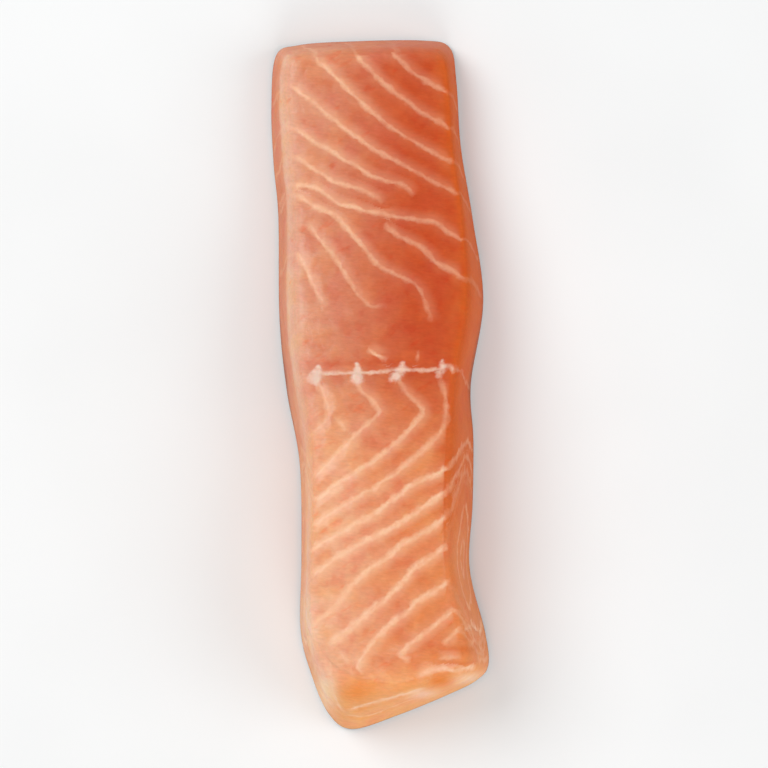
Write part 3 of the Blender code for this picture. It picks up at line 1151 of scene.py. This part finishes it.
# Scales. The bed that they are laid on is a coarse sheet just below the skin.
BARE_RIM = 0.75  # how far in from the flesh the scales end
BED_ACROSS, BED_ALONG, BED_DROP = 2, 60, 0.09
SCALE_ROWS, SCALES_A_ROW = 34, 66
SCALE_SIDES = 14
BULGE, HALF_BULGE, SCALE_RIM = 0.09, 0.07, 0.05  # its bulge, that half-way out, and its rim's thickness
SCALE_TURN = radians(14.0)  # the most by which a scale is turned to either side
STRAY = (0.28, 0.30)  # how far it can stray along the fish and across it
RAY_DROP, RAY_LENGTH = 5.0, 10.0  # rays that look for the bed start this far below, and are this long


def skin_material(look):
    """Silver skin with a faint net where the scales sat."""
    material, tree, shader = new_material(
        "salmon_skin", roughness=0.34, metallic=0.35, ior=1.4, coat_weight=0.5, coat_roughness=0.12,
    )
    place = in_millimetres(tree)
    speck = noise(tree, place, 0.8, 3.0, 0.6)
    tint = mixed(tree, between(tree, speck, 0.35, 0.65), look.pocket, look.steel)
    feed(tree, shader, {"Base Color": tint, "Normal": bumped(tree, speck, 0.3, 0.05)})
    return material


class SALMON_OT_skin(bpy.types.Operator):
    """Makes the skin below the flesh"""

    bl_idname = "salmon.skin"
    bl_label = "Skin"

    def execute(self, context):
        look = context.scene.salmon.skin
        thickness = look.thickness / MM
        places, faces = closed_box(SKIN_ACROSS, SKIN_ALONG, EDGE_RINGS + 1)
        u, v, ring = places.T
        # Its edge is a quarter round up from the underside, and its hidden upper face is inset.
        angle = np.minimum(ring, EDGE_RINGS) / EDGE_RINGS * pi / 2
        rounded = ROUNDED_IN * (1 - np.sin(angle))
        inset = SET_IN + np.where(ring > EDGE_RINGS, HIDDEN_IN, rounded)
        height = SKIN_FLOOR + thickness * (1 - np.cos(angle))
        plan = inset_outline(u, v, inset)
        upright = [face[::-1] for face in faces]
        skin = mesh_object("skin", np.column_stack((plan, height)), upright)
        skin.data.materials.append(skin_material(look))
        dress(skin)
        return {"FINISHED"}


def one_scale(look):
    """One scale: a thin dome, rounded at its free end at -X, that keeps how far out a point is."""
    n = SCALE_SIDES
    turn = np.linspace(0, 2 * pi, n, endpoint=False)
    half_length, half_width = look.scale_length / MM / 2, look.scale_width / MM / 2
    squareness = 1 - 0.12 * np.cos(2 * turn) ** 2
    x = -half_length * np.cos(turn) * squareness
    y = half_width * np.sin(turn) * (1 - 0.18 * (x > 0) * x / half_length)
    rings = [
        np.column_stack((out * x, out * y, np.full(n, height)))
        for out, height in ((1.0, 0.0), (0.5, -HALF_BULGE), (1.0, SCALE_RIM))
    ]
    points = np.vstack((*rings, ((0, 0, -BULGE), (0, 0, SCALE_RIM))))
    faces = []
    for i in range(n):
        j = (i + 1) % n
        faces.append((i, j, n + j, n + i))
        faces.append((n + i, n + j, 3 * n))
        faces.append((j, i, 2 * n + i, 2 * n + j))
        faces.append((2 * n + j, 2 * n + i, 3 * n + 1))
    scale = mesh_object("one_scale", points, faces)
    store(scale, "out", np.concatenate((np.ones(n), np.full(n, 0.5), np.ones(n), (0, 0))))
    return scale


def bed_above(tree, bed, place):
    """Whether the bed lies straight above or below a place, and where: the outputs of a ray."""
    feeds = {
        "Target Geometry": bed,
        "Source Position": vectors(tree, "ADD", place, (0.0, 0.0, -RAY_DROP * MM)),
        "Ray Direction": (0.0, 0.0, 1.0),
        "Ray Length": RAY_LENGTH * MM,
    }
    return node(tree, "GeometryNodeRaycast", feeds).outputs


def scales_tree(look, scale, material):
    """Geometry Nodes that lay overlapping rows of scales on a bed, their free ends to the tail."""
    tree, given, keys = shape_tree(
        "overlapping_scales",
        scale=("Object", scale),
        row_spacing=("Float", look.row_spacing),
        pitch=("Float", look.pitch),
        rows=("Int", SCALE_ROWS),
        scales_a_row=("Int", SCALES_A_ROW),
        tilt=("Float", look.tilt),
        turn=("Float", SCALE_TURN),
        lost_scales=("Float", look.lost),
        seed=("Int", look.seed),
        material=("Material", material),
    )
    size = given.outputs

    def draw(low, high, number, kind="FLOAT"):
        first, result = {"FLOAT": (2, 1), "FLOAT_VECTOR": (0, 0)}[kind]
        feeds = {first: low, first + 1: high, "Seed": total(tree, size["Seed"], float(number))}
        return node(tree, "FunctionNodeRandomValue", feeds, data_type=kind).outputs[result]

    # A grid of places, each second row shifted by half a pitch, and all of them a little astray.
    feeds = {}
    for axis, gap, count in (("X", "Row spacing", "Rows"), ("Y", "Pitch", "Scales a row")):
        feeds[f"Size {axis}"] = product(tree, size[gap], calculate(tree, "SUBTRACT", size[count], 1.0))
        feeds[f"Vertices {axis}"] = size[count]
    grid = node(tree, "GeometryNodeMeshGrid", feeds).outputs[0]
    place = node(tree, "GeometryNodeInputPosition").outputs[0]
    row = calculate(tree, "DIVIDE", parts(tree, place)[0], size["Row spacing"])
    odd = calculate(tree, "FLOORED_MODULO", calculate(tree, "ROUND", total(tree, row, 0.25)), 2.0)
    grid = moved(tree, grid, Offset=vector(tree, y=product(tree, odd, size["Pitch"], 0.5)))
    most = [value * MM for value in STRAY]
    least = [-value for value in most]
    grid = moved(tree, grid, Offset=draw((*least, 0.0), (*most, 0.0), 1, "FLOAT_VECTOR"))

    # A scale at each place below the bed, but for the lost ones.
    ray = bed_above(tree, size["Geometry"], place)
    stays = calculate(tree, "GREATER_THAN", draw(0.0, 1.0, 6), size["Lost scales"])
    stays = product(tree, stays, ray["Is Hit"])
    dots = node(tree, "GeometryNodeMeshToPoints", {0: grid, "Selection": stays}).outputs[0]
    yaw = product(tree, draw(-1.0, 1.0, 2), size["Turn"])
    lean = product(tree, size["Tilt"], draw(0.7, 1.3, 3), -1.0)
    grow = draw(0.76, 1.14, 4)
    feeds = {
        "Points": moved(tree, dots, Position=ray["Hit Position"]),
        "Instance": node(tree, "GeometryNodeObjectInfo", {"Object": size["Scale"]}).outputs["Geometry"],
        "Rotation": vector(tree, y=lean, z=yaw),
        "Scale": vector(tree, grow, grow, 1.0),
    }
    laid = node(tree, "GeometryNodeInstanceOnPoints", feeds).outputs[0]
    laid = keeping(tree, laid, "tone", draw(0.0, 1.0, 5), domain="INSTANCE")

    # The knife cut the scales along the rim: what reaches past the bed is drawn in to its rim.
    real = node(tree, "GeometryNodeRealizeInstances", {0: laid}).outputs[0]
    over = bed_above(tree, size["Geometry"], place)["Is Hit"]
    past = node(tree, "FunctionNodeBooleanMath", {0: over}, operation="NOT").outputs[0]
    rim = node(tree, "GeometryNodeProximity", {"Target": size["Geometry"]}, target_element="EDGES")
    rim_x, rim_y, _ = parts(tree, rim.outputs["Position"])
    drawn_in = vector(tree, rim_x, rim_y, parts(tree, place)[2])
    close_tree(tree, moved(tree, real, Selection=past, Position=drawn_in), size["Material"])
    return tree, keys


def scale_material(look):
    """Silver scales, darker towards the back, each a little lighter or darker than the next."""
    material, tree, shader = new_material(
        "salmon_scales", roughness=0.3, metallic=0.45, ior=1.45, coat_weight=0.6, coat_roughness=0.1,
    )
    place = in_millimetres(tree)
    y = total(tree, parts(tree, place)[1], product(tree, swing(tree, place, 9.0), 60.0))
    tint = mixed(tree, between(tree, y, 30.0, -60.0), look.silver, look.steel)
    # Neighbours are alike in tone, and each scale still has its own.
    clusters = between(tree, noise(tree, place, 7.0, 3.0, 0.6), 0.3, 0.7, 0.62, 1.12)
    tone = between(tree, attribute(tree, "tone"), 0.0, 1.0, 0.62, 1.18)
    tint = vectors(tree, "MULTIPLY", tint, grey(tree, product(tree, clusters, tone)))
    specks = between(tree, noise(tree, place, 0.9, 2.0), 0.62, 0.72, 0.0, 0.5)
    tint = mixed(tree, specks, tint, look.pocket)
    out = attribute(tree, "out")
    tint = mixed(tree, between(tree, out, 0.72, 1.0, 0.0, 0.7), tint, look.pocket)
    rings = calculate(tree, "SINE", product(tree, out, 46.0))
    feed(tree, shader, {"Base Color": tint, "Normal": bumped(tree, rings, 0.25, 0.02)})
    return material


class SALMON_OT_scales(bpy.types.Operator):
    """Lays overlapping scales on the underside of the skin"""

    bl_idname = "salmon.scales"
    bl_label = "Scales"

    def execute(self, context):
        look = context.scene.salmon.skin
        places, faces = closed_box(BED_ACROSS, BED_ALONG, 1)
        u, v, _ = places[: (BED_ACROSS + 1) * (BED_ALONG + 1)].T
        at_rim = np.min((u, 1 - u, v, 1 - v), axis=0) < TINY
        plan = inset_outline(u, v, np.where(at_rim, BARE_RIM, 0.0))
        bed = np.column_stack((plan, np.full(len(u), SKIN_FLOOR - BED_DROP)))
        scales = mesh_object("scales", bed, faces[: BED_ACROSS * BED_ALONG])
        scale = one_scale(look)
        tree, keys = scales_tree(look, scale, scale_material(look))
        apply_tree(scales, tree, keys)
        bpy.data.objects.remove(scale)
        dress(scales)
        return {"FINISHED"}


FLOOR_HALF, FLOOR_DROP = 1500.0, 0.1  # half its width, and how far it lies below the portion

# Lights: name, place and size in metres, and share of the key power.
LIGHTS = (
    ("key", (-0.55, 0.45, 0.75), 0.7, 1.0),
    ("fill", (0.75, -0.1, 0.6), 0.7, 0.47),
    ("back", (0.05, -0.8, 0.5), 0.6, 0.45),
)


def soft_light(name, place, size, power):
    """A large soft light that faces the portion."""
    data = bpy.data.lights.new(name, "AREA")
    data.shape = "DISK"
    data.size = size
    data.energy = power
    lamp = bpy.data.objects.new(name, data)
    lamp.location = place
    lamp.rotation_euler = (-Vector(place)).to_track_quat("-Z", "Y").to_euler()
    bpy.context.scene.collection.objects.link(lamp)


class SALMON_OT_stage(bpy.types.Operator):
    """Sets up the pale floor, the soft lights and the camera that looks straight down"""

    bl_idname = "salmon.stage"
    bl_label = "Stage"

    def execute(self, context):
        look = context.scene.salmon.stage
        signs = ((-1, -1), (1, -1), (1, 1), (-1, 1))
        corners = [(x * FLOOR_HALF, y * FLOOR_HALF, -FLOOR_DROP) for x, y in signs]
        floor = mesh_object("floor", corners, [(0, 1, 2, 3)])
        material, tree, shader = new_material("pale_floor", roughness=0.75)
        paper = noise(tree, in_millimetres(tree), 60.0, 2.0)
        shade = [0.97 * value for value in look.floor]
        tint = mixed(tree, between(tree, paper, 0.3, 0.7), look.floor, shade)
        feed(tree, shader, {"Base Color": tint})
        floor.data.materials.append(material)

        for name, place, size, share in LIGHTS:
            soft_light(name, place, size, look.key_power * share)
        world = bpy.data.worlds.new("pale_room")
        world.use_nodes = True
        sky = world.node_tree.nodes["Background"]
        sky.inputs["Color"].default_value = (1.0, 1.0, 1.0, 1.0)
        sky.inputs["Strength"].default_value = look.sky
        context.scene.world = world

        data = bpy.data.cameras.new("camera")
        data.sensor_fit = "HORIZONTAL"
        middle = (CAD_BOX[1][2] - CAD_BOX[0][2]) / 2
        data.lens = data.sensor_width * (look.camera_height - middle) / look.picture_height
        data.clip_end = 10.0
        camera = bpy.data.objects.new("camera", data)
        camera.location = (0.0, 0.0, look.camera_height)
        camera.rotation_euler = (0.0, 0.0, -look.roll)
        context.scene.collection.objects.link(camera)
        context.scene.camera = camera
        context.scene.view_settings.view_transform = "Standard"
        return {"FINISHED"}


class SALMON_PT_panel(bpy.types.Panel):
    """Lists the settings and the steps"""

    bl_label = "Salmon fillet"
    bl_space_type = "VIEW_3D"
    bl_region_type = "UI"
    bl_category = "Salmon"

    def draw(self, context):
        for group in ("flesh", "skin", "stage"):
            settings = getattr(context.scene.salmon, group)
            box = self.layout.box()
            for key in settings.__annotations__:
                box.prop(settings, key)
        for step in STEPS:
            self.layout.operator(step.bl_idname)


STEPS = (SALMON_OT_stage, SALMON_OT_flesh, SALMON_OT_skin, SALMON_OT_scales)
CLASSES = (FleshSettings, SkinSettings, StageSettings, SalmonSettings, *STEPS, SALMON_PT_panel)


def register():
    """Makes the classes and the scene's settings known to Blender."""
    for kind in CLASSES:
        bpy.utils.register_class(kind)
    bpy.types.Scene.salmon = PointerProperty(type=SalmonSettings)


def unregister():
    """Takes them out again."""
    del bpy.types.Scene.salmon
    for kind in reversed(CLASSES):
        bpy.utils.unregister_class(kind)


def main():
    """Runs every step."""
    register()
    bpy.ops.salmon.stage()
    bpy.ops.salmon.flesh()
    bpy.ops.salmon.skin()
    bpy.ops.salmon.scales()


if __name__ == "__main__":
    main()
